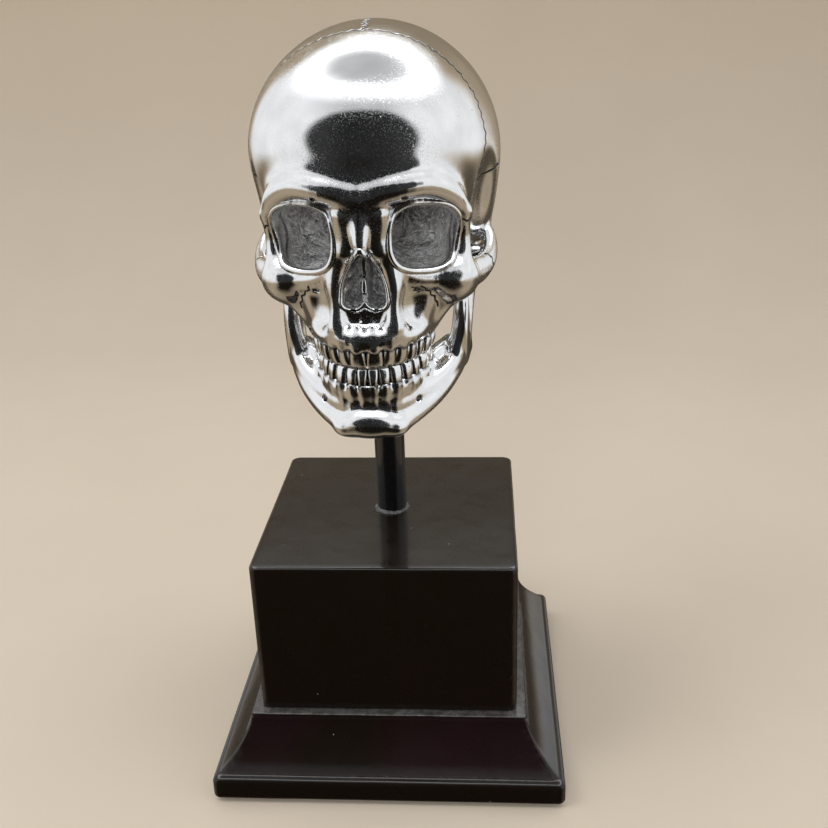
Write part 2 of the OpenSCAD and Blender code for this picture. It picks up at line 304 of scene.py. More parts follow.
def nose_hole(q):
    """The pear-shaped opening of the nose, before the septum is put back."""
    flat = q.copy()
    flat[:, 1] = 0
    pear = rod(flat, [(6.2, 0, -12.8, 5.8), (5.9, 0, -6, 5.2), (3.9, 0, 2, 4.2), (1.8, 0, 9, 2.6),
                      (0.6, 0, 13.4, 1.2)])
    depth = np.clip((q[:, 1] + 90) / 30, 0, 1)
    return overlap(pear + 1.6 * depth, q[:, 1] + 60, 3)


def septum(q):
    """The plate between the two halves of the nose, its spine, and a curled shelf on each side."""
    plate = np.maximum(q[:, 0] - 2.0, np.maximum(-22 - q[:, 2], q[:, 2] - 12))
    plate = np.maximum(plate, np.maximum(-83 - 0.1 * q[:, 2] - q[:, 1], q[:, 1] + 58))
    spine = rod(q, [(0, -84, -20, 3.6), (0, -90, -18.6, 2.4), (0, -93.5, -17.6, 1.4)])
    shelf = rod(q, [(11.5, -78, -9, 2.2), (10, -69, -8, 2.6)])
    upper_shelf = rod(q, [(8.5, -77, -1.5, 1.8), (7.5, -69, -0.5, 2.2)])
    return fuse(plate, (spine, 3), (join(shelf, upper_shelf, 1), 2))


def face_bones(q):
    face = join(brow_and_cheek(q), nose_and_jaw(q), 8)
    return join(face, ball(q, (0, -58, 10), (44, 24, 32)), 8)


def cranium_uncarved(q):
    """The skull before the orbits and the nose are opened."""
    f = join(vault(q), only_near(q, (0, -96, -44), (60, -32, 50), face_bones), 13)
    f = carve(f, ball(q, (69, -38, 20), (13, 25, 30), (0, 0, 14)), 14)
    mastoid = rod(q, [(52, 13, 4, 12), (50, 12, -10, 9), (48.5, 9, -23, 4.5)])
    line = rod(q, [(0, 88, 6, 2.2), (22, 82, 8, 2.4), (40, 62, 4, 2.6), (50, 38, -4, 3)])
    f = fuse(f, (only_near(q, (44, -62, -18), (70, 10, 12), cheek_arch), 5), (mastoid, 9),
             (ball(q, (0, 82, 3), (14, 8, 7)), 12), (line, 7))
    ear = rod(q, [(74, 2, -1, 4.2), (56, 0, -2, 3.2)], reach=20)
    return carve(f, ear, 3)


def arch_place(arch, t):
    """Point and outward turn on a dental arch, t degrees from the front."""
    half_width, half_depth, back_y = arch
    x = half_width * math.sin(math.radians(t))
    y = back_y - half_depth * math.cos(math.radians(t))
    turn = math.atan2(half_depth * math.sin(math.radians(t)), half_width * math.cos(math.radians(t)))
    return x, y, turn


def tooth_middles(arch, widths):
    """Angles of the tooth middles along an arch, from the widths of the teeth."""
    half_width, half_depth, _ = arch
    angles = []
    t, run, used = 0.0, 0.0, 0.0
    step = 0.1
    for w in widths:
        while run < used + w / 2:
            run += math.radians(step) * math.hypot(half_width * math.cos(math.radians(t)),
                                                   half_depth * math.sin(math.radians(t)))
            t += step
        used += w
        angles.append(t)
    return angles


UPPER_ARCH = (29.0, 46.5, -43.0)
LOWER_ARCH = (27.2, 44.2, -43.0)
UPPER_WIDTHS = (8.6, 6.7, 7.7, 7.0, 6.8, 10.2, 9.6)
LOWER_WIDTHS = (5.4, 6.0, 6.9, 7.1, 7.2, 10.9, 10.2)
UPPER_HEIGHTS = (10.8, 9.8, 10.6, 9.0, 8.4, 7.8, 7.2)
LOWER_HEIGHTS = (9.2, 9.4, 10.4, 9.0, 8.4, 7.8, 7.4)
ROOT_LENGTHS = (11, 10, 16, 10, 9, 7, 6)
BITE_HEIGHT = -48.0
CANINE = 2
WIDEST_SHARE = 0.3
UPPER_ROOTS = -37.0
LOWER_ROOTS = -59.0
NECK_DEPTHS = (3.4, 3.3, 4.0, 4.3, 4.5, 5.2, 5.0)
EDGE_DEPTHS = (1.2, 1.2, 1.9, 3.2, 3.4, 4.4, 4.3)


def root_swells(q, arch, widths, neck_z, up):
    """Upright swellings of the bone over the tooth roots."""
    f = np.full(len(q), FAR)
    for t, w, run in zip(tooth_middles(arch, widths), widths, ROOT_LENGTHS):
        x, y, turn = arch_place(arch, t)
        out = np.array([math.sin(turn), -math.cos(turn)])
        foot = np.array([x, y]) + out * 1.9
        tip = foot - out * 2.6
        swell = rod(q, [(*foot, neck_z, w * 0.36), (*tip, neck_z + up * run, w * 0.16)], reach=8)
        f = join(f, swell, 1.2)
    return f


def teeth_pair(p, arch, widths, heights, edge_z, up):
    """Distances to the nearest and the second nearest crown. up is 1 when the roots are above."""
    q = np.column_stack([np.abs(p[:, 0]), p[:, 1], p[:, 2]])
    first = np.full(len(p), FAR)
    second = np.full(len(p), FAR)
    for i, t in enumerate(tooth_middles(arch, widths)):
        x, y, turn = arch_place(arch, t)
        w, h = widths[i], heights[i]
        tip = edge_z - (up * 0.35 if i == CANINE else 0)
        middle = (x, y, edge_z + up * h / 2)
        mask = near(q, middle, middle, 9 + h / 2)
        d = q[mask] - np.array([x, y, tip])
        u = d[:, 0] * math.cos(turn) + d[:, 1] * math.sin(turn)
        v = d[:, 0] * math.sin(turn) - d[:, 1] * math.cos(turn)
        z = d[:, 2] * up
        s = np.clip(z / h, 0, 1.4)
        above = np.clip((s - WIDEST_SHARE) / (1 - WIDEST_SHARE), 0, 1.4)
        below = np.clip(1 - s / WIDEST_SHARE, 0, 1)
        half_w = w / 2 * (1.01 - 0.17 * above ** 2 - 0.05 * below ** 2)
        half_d = EDGE_DEPTHS[i] + (NECK_DEPTHS[i] - EDGE_DEPTHS[i]) * np.sqrt(np.clip(s, 0, 1))
        v = v + 0.7 - 2.0 * s * (1.15 - s)
        n = (np.abs(u / half_w) ** 2.9 + np.abs(v / half_d) ** 2.5) ** (1 / 2.7)
        body = (n - 1) * np.minimum(half_w, half_d)
        if i == CANINE:
            edge = 0.9 * np.abs(u / (w / 2)) ** 1.6 - z
        elif i < CANINE:
            edge = 0.5 * (u / (w / 2)) ** 4 - z
        else:
            edge = 0.9 * (1 - np.abs(v / half_d)) ** 2 + 0.3 * np.cos(u / w * 12) - z
        tooth = overlap(body, np.maximum(edge, z - h - 4), 1.5)
        old = first[mask]
        first[mask] = np.minimum(old, tooth)
        second[mask] = np.minimum(second[mask], np.maximum(old, tooth))
    # the two front teeth meet at the middle, where the folded row has only one of them
    return first, np.minimum(second, np.where(np.abs(p[:, 0]) < 3, first + 2 * np.abs(p[:, 0]), FAR))


def upper_pair(p):
    return teeth_pair(sway(p), UPPER_ARCH, UPPER_WIDTHS, UPPER_HEIGHTS, BITE_HEIGHT + 0.35, 1)


def lower_pair(p):
    return teeth_pair(sway(p), LOWER_ARCH, LOWER_WIDTHS, LOWER_HEIGHTS, BITE_HEIGHT - 0.45, -1)


def crowns(pair):
    """One field for a row of crowns, with a narrow soft groove between neighbours."""
    def field(p):
        first, second = pair(p)
        return join(first, second, 0.5)
    return field


RIM_RADIUS = 1.25
LIP_RADIUS = 1.0


def rims(solid, socket, hole):
    """Thin raised beads where the orbit and the nose opening meet the face."""
    rim = np.sqrt(solid ** 2 + socket ** 2) - RIM_RADIUS
    lip = np.sqrt(solid ** 2 + hole ** 2) - LIP_RADIUS
    return rim, lip


def furrows(q):
    """Tool marks that sweep round the axis of the orbit."""
    d = q - np.array(ORBIT_CENTRE)
    around = np.arctan2(d[:, 2], d[:, 0]) * 9
    out = np.hypot(d[:, 0], d[:, 2]) + 0.5 * d[:, 1]
    swept = np.column_stack([around * 0.55, out * 1.7, d[:, 1] * 0.5])
    return 0.55 * lumps(swept, 3.0) + 0.2 * lumps(swept, 1.3)


def upper_swells(q):
    return root_swells(q, UPPER_ARCH, UPPER_WIDTHS, UPPER_ROOTS, 1)


def open_face(solid, p, q):
    """Orbits and nose, cut rough inside, with a raised rim round each."""
    socket, hole = orbit(q), nose_hole(q)
    rim, lip = rims(solid, socket, hole)
    rough = np.clip((-solid - 2) / 3, 0, 1)
    inside = (rough > 0) & (np.minimum(socket, hole) < 3)
    rough[inside] *= 0.36 * lumps(p[inside], 4.2) + furrows(q[inside])
    f = carve(solid, socket + rough, 1.6)
    f = carve(f, hole + rough, 1.4)
    f = join(f, np.maximum(septum(q) + rough * 0.6, solid + 1.2), 1.2)
    f = join(f, np.minimum(rim, lip), 1.1)
    f = carve(f, orbit_openings(q), 0.8)
    return carve(f, ball(q, (0, -58, -42), (20, 24, 12)), 4)


def cranium(p):
    q = one_side(p)
    f = join(cranium_uncarved(q), only_near(q, (0, -90, -42), (34, -40, -18), upper_swells), 3.5)
    f += dents(p)
    front = q[:, 1] < -18
    f[front] = open_face(f[front], p[front], q[front])
    return seat_for_plate(f, folded(p, 0.1))


SEAT_RADIUS = 29
PAD_HEIGHT = SEAT_HEIGHT + 3 / SKULL_SHARE
PAD_RADIUS = 6.4
TAB_PLACE = (38.9, 0.9)
TAB_RADIUS = 7.3
TAB_THICK = 6.3


def seat_for_plate(f, q):
    """The round seat for the base plate and the pads for the jaw's tabs, as on the CAD casting."""
    f = join(f, column(q, (0, POST_Y), SEAT_RADIUS + 4, SEAT_HEIGHT, SEAT_HEIGHT + 26), 3)
    f = join(f, column(q, TAB_PLACE, PAD_RADIUS, PAD_HEIGHT, PAD_HEIGHT + 16), 2)
    f = np.maximum(f, -column(q, TAB_PLACE, TAB_RADIUS + 1, PAD_HEIGHT - 20, PAD_HEIGHT))
    return np.maximum(f, -column(q, (0, POST_Y), SEAT_RADIUS, SEAT_HEIGHT - 30, SEAT_HEIGHT))


def mandible(p):
    """The lower jaw: body, chin, the two upright branches and the fixing tabs."""
    q = one_side(p)
    low = rod(q, [(0, -83, -81, 6.8), (12, -82, -81.5, 6.3), (24, -72, -78, 5.6), (35, -56, -73, 5.2),
                  (43, -38, -67, 5), (48, -21, -60, 4.6)])
    mid = rod(q, [(0, -82, -71, 5.2), (12, -80, -71, 5), (23, -70, -69, 4.8), (33, -56, -66, 4.8),
                  (42, -40, -61, 4.6), (48, -25, -54, 4)])
    ridge = rod(q, [(0, -84.5, -62, 5), (10, -82, -62, 5), (19.5, -73, -61.5, 5), (25.5, -58, -60, 5),
                    (30, -44, -58, 4.8), (40, -33, -52, 3.6)])
    chin = ball(q, (0, -87, -80), (12, 6.4, 7.6))
    knob = ball(q, (13, -83.5, -83), (6.5, 5.4, 4.6))
    body = fuse(low, (mid, 8), (ridge, 8), (chin, 7), (knob, 6))
    back_edge = rod(q, [(48, -16, -58, 4.6), (50.5, -10, -40, 3.8), (52.5, -8, -24, 3.8),
                        (54, -11, -10, 3.6)])
    front_edge = rod(q, [(44, -38, -56, 4), (46, -37, -40, 3.4), (47, -36, -24, 2.8), (47, -33, -9, 2)])
    plate = ball(q, (48.5, -24, -42), (3.4, 16, 24), (0, 0, 4))
    condyle = ball(q, (54, -11, -6.5), (9, 4.4, 4.2))
    ramus = fuse(back_edge, (front_edge, 8), (plate, 8), (condyle, 4))
    swells = root_swells(q, LOWER_ARCH, LOWER_WIDTHS, LOWER_ROOTS, -1)
    f = fuse(body, (ramus, 7), (swells, 3.5))
    f = carve(f, ball(q, (0, -66, -70), (16, 13, 24)), 4)
    f = carve(f, rod(q, [(27, -80, -71, 1.7), (24, -70, -70, 1.3)], reach=10), 1.2)
    f = f + 0.1 * lumps(p, 14)
    tab_z = PAD_HEIGHT - TAB_THICK / 2
    e = folded(p, 0.1)
    tab = rod(e, [(*TAB_PLACE, tab_z, TAB_RADIUS), (51, -6, tab_z, 5)], reach=10)
    flat = np.abs(e[:, 2] - tab_z) - TAB_THICK / 2
    return join(f, overlap(tab, flat, 1), 1.5)


# ---- Surfaces from distance fields ----

def surface(field, low, high, voxel):
    """Quads on the zero surface of a distance field, sampled only in the blocks where it passes."""
    cells = 8
    low = np.array(low, float)
    count = np.ceil((np.array(high, float) - low) / (voxel * cells)).astype(int)
    grid = np.indices(tuple(count)).reshape(3, -1).T
    size = voxel * cells
    guess = field(low + (grid + 0.5) * size)
    values = np.full(tuple(count * cells), FAR, np.float32)
    blocks = values.reshape(count[0], cells, count[1], cells, count[2], cells)
    blocks[...] = np.sign(guess).reshape(tuple(count))[:, None, :, None, :, None] * 3 * voxel
    close = np.abs(guess) < size * 1.5
    inner = np.indices((cells, cells, cells)).reshape(3, -1).T
    chosen = grid[close]
    batch = 600
    for start in range(0, len(chosen), batch):
        part = chosen[start:start + batch]
        index = (part[:, None, :] * cells + inner[None, :, :]).reshape(-1, 3)
        found = field(low + index * voxel)
        values[index[:, 0], index[:, 1], index[:, 2]] = np.clip(found, -3 * voxel, 3 * voxel)
    volume = openvdb.FloatGrid(background=3 * voxel)
    volume.copyFromArray(values)
    points, quads = volume.convertToQuads(isovalue=0.0)
    return low + points.astype(float) * voxel, quads


def slope(field, points, step):
    """The field's gradient and value, from its values at the corners of a small tetrahedron."""
    gradient = np.zeros_like(points)
    value = np.zeros(len(points))
    for corner in ((1, -1, -1), (-1, -1, 1), (-1, 1, -1), (1, 1, 1)):
        found = field(points + step * np.array(corner))
        gradient += found[:, None] * corner / (4 * step)
        value += found / 4
    return gradient, value


def settle(field, points, reach, times=1):
    """Newton steps of every point on to the field's zero surface, none longer than reach."""
    for _ in range(times):
        g, value = slope(field, points, reach * 0.15)
        move = g * (value / np.maximum((g * g).sum(1), 0.2))[:, None]
        move *= np.minimum(1, reach / np.maximum(length(move), 1e-9))[:, None]
        points = points - move
    return points


def mesh_points(mesh):
    flat = np.empty(len(mesh.vertices) * 3)
    mesh.vertices.foreach_get("co", flat)
    return flat.reshape(-1, 3)


def add_object(name, data):
    obj = bpy.data.objects.new(name, data)
    bpy.context.scene.collection.objects.link(obj)
    return obj


def mesh_object(name, points, faces):
    mesh = bpy.data.meshes.new(name)
    mesh.from_pydata([tuple(v) for v in points], [], [tuple(f) for f in faces])
    mesh.shade_smooth()
    return add_object(name, mesh)


def cut_finer(mesh, wanted):
    """Split the edges whose two ends are both wanted, and fill the faces between."""
    bm = bmesh.new()
    bm.from_mesh(mesh)
    edges = [e for e in bm.edges if wanted[e.verts[0].index] and wanted[e.verts[1].index]]
    bmesh.ops.subdivide_edges(bm, edges=edges, cuts=1, use_grid_fill=True)
    bm.to_mesh(mesh)
    bm.free()


def store(mesh, name, values):
    """Keep one number for each vertex, for the material to read."""
    layer = mesh.attributes.new(name, "FLOAT", "POINT")
    layer.data.foreach_set("value", np.clip(values, 0, 1).astype(np.float32))


def plating(piece, line, recess=0.0, ridge=0.0):
    """Masks for the chrome: painted shade in the cut lines and creases, hollows, and the tool-mark ridge
    tops inside them, which are painted silver as glints.
    """
    for name, values in (("line", line), ("recess", recess), ("ridge", ridge)):
        store(piece.data, name, np.broadcast_to(values, np.shape(line)))


def casting(name, field, low, high, voxel, closeness=None, levels=0):
    """A chrome casting. closeness says how far each point is from fine detail, in mm; each level
    halves the faces within reach of it. Returns the object and its life-size points."""
    points, quads = surface(field, low, high, voxel)
    points = settle(field, points, voxel * 0.6, 2)
    mesh = bpy.data.meshes.new(name)
    mesh.from_pydata([tuple(v) for v in points], [], [tuple(f) for f in quads])
    size = voxel
    for _ in range(levels):
        wanted = closeness(points) < size * 1.2 + 0.3
        cut_finer(mesh, wanted)
        size /= 2
        old_count = len(points)
        points = mesh_points(mesh)
        moved = np.ones(len(points), bool)
        moved[:old_count] = wanted
        points[moved] = settle(field, points[moved], size * 0.6, 2)
        mesh.vertices.foreach_set("co", points.ravel())
    normals = slope(field, points, size * 0.3)[0]
    normals /= np.maximum(length(normals), 1e-9)[:, None]
    mesh.vertices.foreach_set("co", to_frame(points).ravel())
    bm = bmesh.new()
    bm.from_mesh(mesh)
    bmesh.ops.recalc_face_normals(bm, faces=bm.faces)
    bm.to_mesh(mesh)
    bm.free()
    mesh.shade_smooth()
    mesh.normals_split_custom_set_from_vertices([tuple(n) for n in normals])
    return add_object(name, mesh), points


# ---- Sutures: the zigzag joints between the bones of a skull, engraved in the casting ----

SUTURES = (
    # guide points, zigzag to each side and along the line, depth, on both sides of the skull or not
    (((0, -30, 112), (30, -31, 104), (54, -33, 82), (63, -38, 52), (61, -44, 30)), 1.5, 2.6, 1.0, True),
    (((0, -30, 112), (0, 0, 118), (0, 40, 110), (0, 72, 84)), 1.9, 2.6, 1.0, False),
    (((0, 72, 84), (24, 74, 66), (44, 66, 42), (54, 50, 22), (54, 34, 10)), 1.9, 2.5, 1.0, True),
    (((61, -40, 22), (68, -16, 40), (69, 10, 44), (64, 32, 32), (56, 40, 16)), 0.7, 3.2, 1.0, True),
    (((47, -69, 26), (50, -62, 24), (50, -54, 22)), 0.6, 1.9, 0.75, True),
    (((61, -40, 3), (64, -36, -6), (62, -32, -16)), 0.8, 2.0, 0.9, True),
    (((29, -76, -8), (33, -70, -14), (36, -64, -22)), 0.7, 2.2, 0.6, True),
    (((7, -86, 34), (0, -92, 35), (-7, -86, 34)), 0.5, 1.8, 0.45, False),
    (((0, -92, 33), (0, -95, 22), (0, -96, 16)), 0.2, 2.4, 0.4, False),
)
GROOVE_RADIUS = 0.42
SUTURE_STRETCH = 9


def plain_cranium(p):
    return cranium_uncarved(one_side(p)) + dents(p)


def evenly(line, step):
    """The same line with points an even step apart."""
    run = np.concatenate([[0], np.cumsum(length(np.diff(line, axis=0)))])
    places = np.linspace(0, run[-1], max(4, int(run[-1] / step)))
    return np.column_stack([np.interp(places, run, line[:, i]) for i in range(3)])


def zigzag(line, wide, random):
    """A line that jumps from side to side of the one given."""
    count = len(line)
    side = np.cross(np.gradient(line, axis=0), slope(plain_cranium, line, 0.5)[0])
    side /= np.maximum(length(side), 1e-9)[:, None]
    jump = np.where(np.arange(count) % 2 == 0, 1.0, -1.0) * random.uniform(0.35, 1.25, count) * wide
    drift = np.clip(np.cumsum(random.uniform(-0.12, 0.12, count)), -1.5, 1.5)
    return line + side * (jump + drift)[:, None]


def suture_pieces():
    """Every suture, cut into short stretches that are quick to measure distances to."""
    random = np.random.default_rng(5)
    rows = []
    for guide, wide, step, depth, both in SUTURES:
        for mirror in ((1, -1) if both else (1,)):
            mirrored = tuple((mirror * x, y, z) for x, y, z in guide)
            rows.append((curve_through(mirrored, 24), wide, step, depth))
    ends = np.cumsum([len(row[0]) for row in rows])[:-1]
    guides = np.split(settle(plain_cranium, np.vstack([row[0] for row in rows]), 4.0, 5), ends)
    lines = [zigzag(evenly(guide, row[2]), row[1], random) for guide, row in zip(guides, rows)]
    ends = np.cumsum([len(line) for line in lines])[:-1]
    lines = np.split(settle(plain_cranium, np.vstack(lines), 3.0, 4), ends)
    pieces = []
    for line, row in zip(lines, rows):
        radius = GROOVE_RADIUS * row[3] * random.uniform(0.7, 1.25, len(line))
        path = np.column_stack([line, radius])
        for start in range(0, len(path) - 1, SUTURE_STRETCH):
            pieces.append(path[start:start + SUTURE_STRETCH + 1])
    return pieces


SUTURE_PIECES = suture_pieces()


def to_sutures(p, reach=3.0):
    """Distance to the nearest suture groove, where it is within reach."""
    best = np.full(len(p), reach)
    for path in SUTURE_PIECES:
        mask = near(p, path[:, :3].min(0), path[:, :3].max(0), reach)
        if mask.any():
            best[mask] = np.minimum(best[mask], to_path(p[mask], path))
    return best


def engraved_cranium(p):
    f = cranium(p)
    close = np.abs(f) < 3
    f[close] = carve(f[close], to_sutures(p[close]), 0.35)
    return f


def face_measures(p):
    """The uncarved surface, the sockets and the raised rims, for masks on the finished casting."""
    q = one_side(p)
    solid = join(cranium_uncarved(q), upper_swells(q), 3.5)
    rim, lip = rims(solid, orbit(q), nose_hole(q))
    return solid, np.minimum(rim, lip)


def fine_detail(p):
    """How far a point of the cranium is from a rim or a suture."""
    solid, rim = face_measures(p)
    inside = np.where(solid < -1.5, 1.9, FAR)
    return np.minimum(np.minimum(np.abs(rim), to_sutures(p, 4.0)), inside)


BONE_VOXEL = 2.0
BONE_LEVELS = 2
JAW_VOXEL = 1.0
TOOTH_VOXEL = 0.45
GUM_LINE = 0.9

skull_object, skull_points = casting("cranium_casting", engraved_cranium, (-74, -104, -48),
                                     (74, 100, 124), BONE_VOXEL, fine_detail, BONE_LEVELS)
solid_depth, rim_distance = face_measures(skull_points)
upper_distance = upper_pair(skull_points)[0]
# Painted shade: the line mask colours near black the suture grooves, the crease where the upper teeth meet
# the bone, and the crease at the foot of the orbit and nose rims.
suture_shade = (0.50 - to_sutures(skull_points)) / 0.35
gum_line_shade = 1 - np.abs(upper_distance) / GUM_LINE
outline = 0.8 - np.abs(rim_distance - 0.35) / 0.4
# The ridges of the tool marks in the hollows: real relief, and the chrome paints them silver as painted
# glints.
tool_marks = 3.0 * furrows(one_side(skull_points)) - 0.6
plating(skull_object, np.maximum.reduce([suture_shade, gum_line_shade, outline]), (-solid_depth - 1.4) / 3.0, tool_marks)

jaw_object, jaw_points = casting("mandible_casting", mandible, (-66, -98, -94), (66, 12, 4), JAW_VOXEL)
# Painted shade: the jaw's line mask colours near black the crease where the lower teeth meet the bone.
plating(jaw_object, 1 - np.abs(lower_pair(jaw_points)[0]) / GUM_LINE)


def tooth_row(name, pair, bone, low, high):
    """A row of crowns, with painted shade in the grooves between them and where they meet the bone."""
    row, points = casting(name, crowns(pair), low, high, TOOTH_VOXEL)
    first, second = pair(points)
    # Painted shade: near black in the grooves between neighbouring crowns and along the line where the
    # crowns meet the bone.
    groove = 1 - (second - first) / 1.0
    gum_line_shade = 1 - np.abs(bone(points)) / 0.7
    plating(row, np.maximum(groove, gum_line_shade))
    return row


upper_row = tooth_row("upper_teeth", upper_pair, cranium, (-42, -96, -52), (42, -38, -30))
lower_row = tooth_row("lower_teeth", lower_pair, mandible, (-42, -96, -66), (42, -38, -44))


# ---- Materials ----

class Nodes:
    """A node tree in the making. Each call adds a node and returns its output."""

    def __init__(self, tree, coordinate):
        self.tree = tree
        self.place = tree.nodes.new("ShaderNodeTexCoord").outputs[coordinate]

    def add(self, kind, inputs, **settings):
        node = self.tree.nodes.new(kind)
        for key, value in settings.items():
            setattr(node, key, value)
        for socket, value in inputs.items():
            self.feed(node.inputs[socket], value)
        return node

    def feed(self, socket, value):
        if isinstance(value, bpy.types.NodeSocket):
            self.tree.links.new(value, socket)
        else:
            socket.default_value = value

    def stretched(self, x, y, z):
        return self.add("ShaderNodeMapping", {"Vector": self.place, "Scale": (x, y, z)}).outputs["Vector"]

    def noise(self, per_metre, detail=3.0, distortion=0.0, vector=None):
        inputs = {"Vector": vector or self.place, "Scale": per_metre, "Detail": detail,
                  "Distortion": distortion}
        return self.add("ShaderNodeTexNoise", inputs).outputs["Fac"]

    def cells(self, per_metre):
        return self.add("ShaderNodeTexVoronoi", {"Vector": self.place, "Scale": per_metre})

    def picks(self, cell):
        """Three random numbers for each cell."""
        return self.add("ShaderNodeSeparateColor", {0: cell.outputs["Color"]}).outputs

    def levels(self, value, low, high, out_low=0.0, out_high=1.0, curve="LINEAR"):
        inputs = {"Value": value, "From Min": low, "From Max": high, "To Min": out_low, "To Max": out_high}
        return self.add("ShaderNodeMapRange", inputs, interpolation_type=curve).outputs["Result"]

    def maths(self, operation, a, b=0.0):
        return self.add("ShaderNodeMath", {0: a, 1: b}, operation=operation, use_clamp=False).outputs[0]

    def blend(self, share, a, b):
        node = self.add("ShaderNodeMix", {"Factor": share}, data_type="RGBA")
        self.feed(node.inputs[6], a)
        self.feed(node.inputs[7], b)
        return node.outputs[2]

    def chain(self, operation, values):
        return functools.reduce(lambda a, b: self.maths(operation, a, b), values)

    def times(self, *values):
        return self.chain("MULTIPLY", values)

    def plus(self, *values):
        return self.chain("ADD", values)

    def most(self, *values):
        return self.chain("MAXIMUM", values)

    def less(self, a, b):
        return self.maths("SUBTRACT", a, b)

    def bump(self, height, distance, normal=None):
        inputs = {"Height": height, "Distance": distance, "Strength": 1.0}
        if normal:
            inputs["Normal"] = normal
        return self.add("ShaderNodeBump", inputs).outputs["Normal"]

    def threads(self, noise, thin):
        """Thin lines along the middle contour of a noise."""
        return self.levels(self.maths("ABSOLUTE", self.less(noise, 0.5)), thin, 0.0)

    def upward(self):
        """How far a surface faces up."""
        normal = self.add("ShaderNodeNewGeometry", {}).outputs["Normal"]
        return self.levels(self.add("ShaderNodeSeparateXYZ", {0: normal}).outputs["Z"], 0.35, 0.9)


class Look(Nodes):
    """A material in the making, round its one shader."""

    def __init__(self, name, fixed):
        self.material = bpy.data.materials.new(name)
        self.material.use_nodes = True
        super().__init__(self.material.node_tree, "Object")
        self.shader = self.tree.nodes["Principled BSDF"]
        for socket, value in fixed.items():
            self.shader.inputs[socket].default_value = value

    def give(self, socket, value):
        self.feed(self.shader.inputs[socket], value)

    def attribute(self, name):
        return self.add("ShaderNodeAttribute", {}, attribute_name=name).outputs["Fac"]


def chrome_look():
    """Mirror plating: faint haze, grain and pits, painted shade in the cut lines and creases, streaky in
    recesses with painted glints.
    """
    look = Look("mirror_chrome", {})
    recess = look.attribute("recess")
    line = look.attribute("line")
    # Painted glints: thin swirling streaks and the tool-mark ridges are painted silver in the hollows in
    # place of highlights; the streaks are also relief in the bump.
    swirls = look.threads(look.noise(130, 3, 3.4), 0.07)
    finer = look.threads(look.noise(330, 3, 2.4), 0.055)
    streaks_and_glints = look.most(swirls, look.times(finer, 0.75))
    ridges_and_glints = look.most(streaks_and_glints, look.attribute("ridge"))
    between_glints = look.less(1.0, look.times(ridges_and_glints, 0.95))
    wash = look.levels(look.noise(120, 4, 1.0), 0.38, 0.62, 0.45, 1.0)
    soot = look.times(recess, between_glints, wash)
    frost = look.levels(look.noise(2100, 4), 0.47, 0.62)
    frost = look.times(frost, look.levels(look.noise(26, 2), 0.36, 0.52))
    cell = look.cells(520)
    speck = look.levels(cell.outputs["Distance"], 0.13, 0.05)
    rare = look.levels(look.picks(cell)[0], 0.93, 0.95)
    patch = look.levels(look.noise(38, 2), 0.5, 0.62)
    pits = look.times(speck, rare, patch)
    # dark: the grey cast in the hollows and the pits, plus painted shade along the line mask.
    dark = look.maths("MINIMUM", look.plus(soot, line, pits), 1.0)
    silver = look.blend(look.noise(60, 3), (0.93, 0.935, 0.94, 1), (0.85, 0.855, 0.865, 1))
    look.give("Metallic", look.levels(recess, 0.0, 1.0, 1.0, 0.25))
    grey = look.blend(look.levels(look.noise(600, 5), 0.38, 0.62), (0.025, 0.024, 0.023, 1),
                      (0.17, 0.166, 0.16, 1))
    # Near black where the line mask paints shade in grooves and creases; the cast's grey elsewhere in the
    # hollows.
    shade_and_cast_grey = look.blend(line, grey, (0.03, 0.03, 0.031, 1))
    look.give("Base Color", look.blend(dark, silver, shade_and_cast_grey))
    haze = look.levels(look.noise(85, 5), 0.45, 0.75, 0.03, 0.075)
    matt = look.most(dark, look.times(recess, 0.6), look.times(frost, 0.75))
    spread = look.add("ShaderNodeMix", {"Factor": matt, "A": haze, "B": 0.36}, data_type="FLOAT")
    look.give("Roughness", spread.outputs[0])
    grained = look.levels(look.noise(45, 3), 0.42, 0.6)
    grain = look.bump(look.times(look.noise(2600, 3), grained), 0.000012)
    peel = look.bump(look.noise(1300, 2), 0.0000035, grain)
    carved = look.times(recess, look.plus(look.noise(420, 5, 1.6), streaks_and_glints))
    look.give("Normal", look.bump(look.less(carved, pits), 0.0003, peel))
    return look.material


